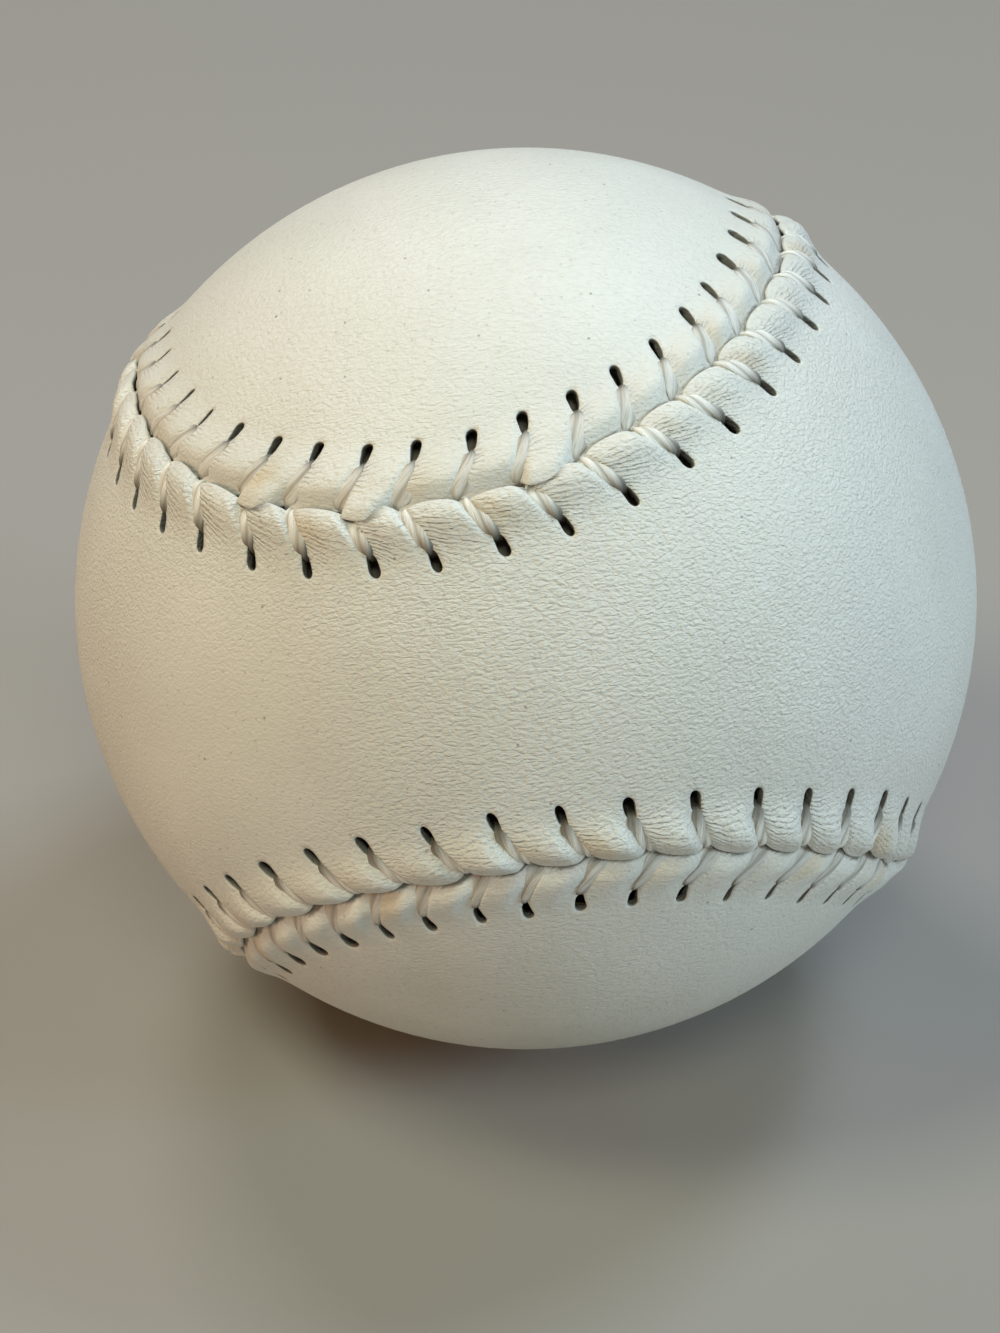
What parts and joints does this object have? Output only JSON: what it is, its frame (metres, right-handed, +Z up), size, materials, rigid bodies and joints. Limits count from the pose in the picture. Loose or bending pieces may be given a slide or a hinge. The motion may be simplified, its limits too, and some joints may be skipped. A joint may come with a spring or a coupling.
{
  "type": "stitched leather softball",
  "caption": "Ball with a moulded core under two figure-eight leather panels, sewn edge to edge with a raised herringbone seam of waxed thread.",
  "frame": {"origin": "centre of the ball", "axes": "+Z up as the ball rests in the picture, +Y away from the viewer, +X to the viewer's right"},
  "size_m": [0.097, 0.0981, 0.0969],
  "materials": {
    "core_polyurethane": "moulded, matt",
    "cement": "dried rubber cement",
    "cover_leather": "white finished leather, fine grain",
    "waxed_thread": "twisted, waxed"
  },
  "bodies": {
    "root": {"core": "core_polyurethane", "cement_film_a": "cement", "cement_film_b": "cement", "cover_panel_a": "cover_leather", "cover_panel_b": "cover_leather", "seam_thread": "waxed_thread"}
  },
  "joints": []
}
